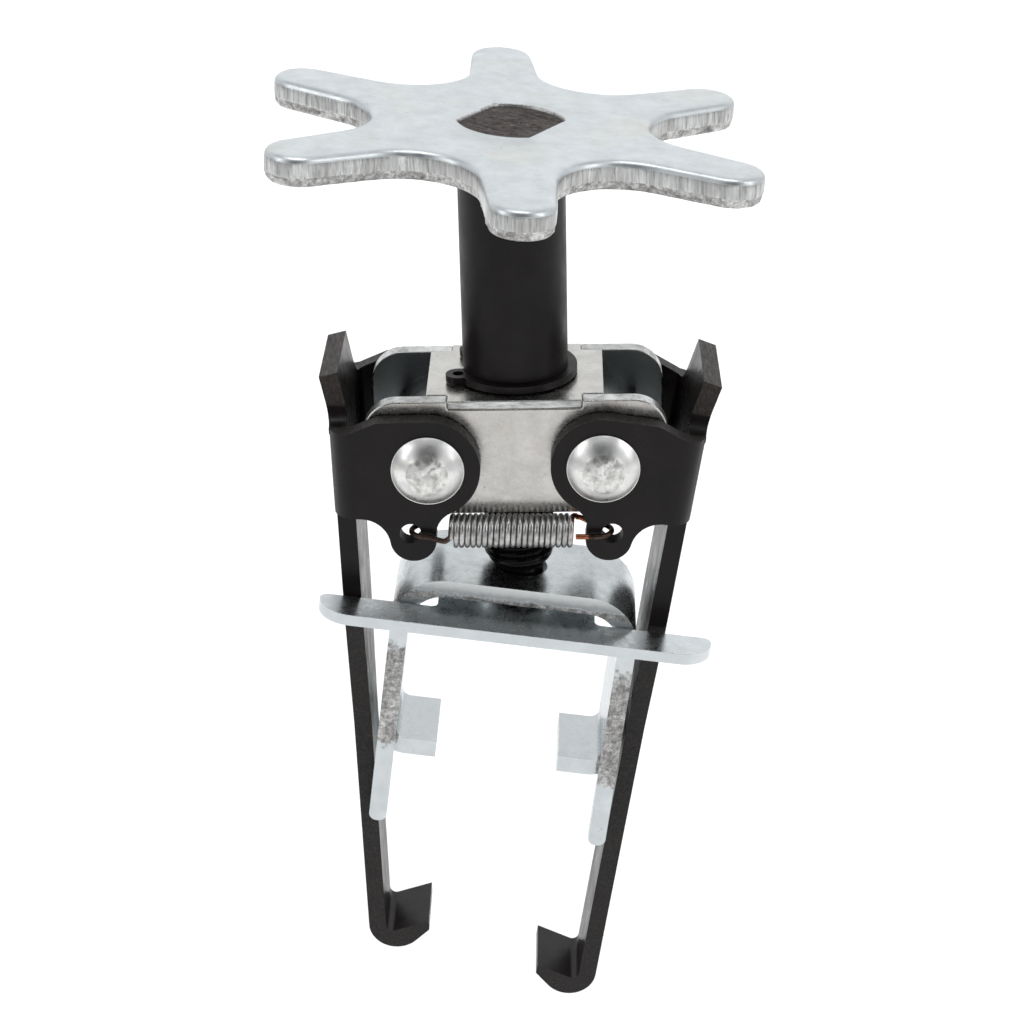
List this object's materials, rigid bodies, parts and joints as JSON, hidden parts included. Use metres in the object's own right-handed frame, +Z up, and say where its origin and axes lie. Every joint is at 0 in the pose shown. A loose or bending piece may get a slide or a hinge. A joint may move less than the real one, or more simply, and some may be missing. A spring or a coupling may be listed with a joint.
{
  "type": "two-jaw gear puller",
  "caption": "Hand-operated screw puller with a star handle, a riveted yoke, hooked spring-loaded jaws and a forked saddle with a slide bar.",
  "frame": {"origin": "on the sleeve's axis, level with the bottom of the longer, right-hand hook", "axes": "+Z up along the screw towards the star handle, +X towards the right-hand jaw, -Y towards the front, where the spring is"},
  "size_m": [0.079, 0.0868, 0.1697],
  "materials": {
    "zinc": "bright zinc plating over punched steel plate, satin and slightly mottled",
    "black": "black phosphate and oil, satin to semi-gloss",
    "rivet": "bright zinc, hammered in the middle of the heads",
    "spring": "bright drawn spring wire"
  },
  "bodies": {
    "yoke": {"bridge_plate": "zinc", "yoke_front_plate": "zinc", "yoke_back_plate": "zinc", "spacer_left": "black", "spacer_right": "black", "jaw_spring": "spring"},
    "drive": {"star_handle": "zinc", "drive_sleeve": "black", "sleeve_circlip": "black"},
    "screw": {"pressure_screw": "black", "screw_washer": "rivet"},
    "saddle": {"saddle": "zinc"},
    "slide_bar": {"slide_bar": "zinc"},
    "pivot_left": {"rivet_left": "rivet"},
    "pivot_right": {"rivet_right": "rivet"},
    "jaw_left": {"jaw_left": "black"},
    "jaw_right": {"jaw_right": "black"}
  },
  "joints": [
    {"name": "star_turn", "type": "hinge", "parent": "yoke", "child": "drive", "pos_m": [0, 0, 0.16125], "axis": [0, 0, 1], "range_deg": [-1152, 7200]},
    {"name": "screw_travel", "type": "slide", "parent": "yoke", "child": "screw", "axis": [0, 0, 1], "range_m": [-0.0251, 0.0041]},
    {"name": "saddle_rock", "type": "hinge", "parent": "screw", "child": "saddle", "pos_m": [0, 0, 0.0853], "axis": [0.0105, 0.9999, 0], "range_deg": [-0.3, 1.2]},
    {"name": "bar_slide", "type": "slide", "parent": "saddle", "child": "slide_bar", "axis": [-0.1392, 0.0015, -0.9903], "range_m": [-0.001, 0.024]},
    {"name": "jaw_left_follow", "type": "hinge", "parent": "yoke", "child": "pivot_left", "pos_m": [-0.01435, 0, 0.11215], "axis": [0, 1, 0], "range_deg": [-0.26, 1.1]},
    {"name": "jaw_left_open", "type": "hinge", "parent": "pivot_left", "child": "jaw_left", "pos_m": [-0.01435, 0, 0.11215], "axis": [0, 1, 0], "range_deg": [0, 20], "stiffness_Nm_per_rad": 0.1, "springref_deg": -28.65, "deforming": ["jaw_spring"]},
    {"name": "jaw_right_follow", "type": "hinge", "parent": "yoke", "child": "pivot_right", "pos_m": [0.01435, 0, 0.11215], "axis": [0, -1, 0], "range_deg": [-0.9, 5.11]},
    {"name": "jaw_right_open", "type": "hinge", "parent": "pivot_right", "child": "jaw_right", "pos_m": [0.01435, 0, 0.11215], "axis": [0, -1, 0], "range_deg": [0, 20], "stiffness_Nm_per_rad": 0.1, "springref_deg": -28.65, "deforming": ["jaw_spring"]}
  ],
  "couplings": [
    {"joint": "screw_travel", "follows": "star_turn", "m_per_rad": -0.00019894},
    {"joint": "jaw_left_follow", "follows": "star_turn", "ratio": 0.00013926},
    {"joint": "jaw_right_follow", "follows": "star_turn", "ratio": 0.0006963}
  ]
}
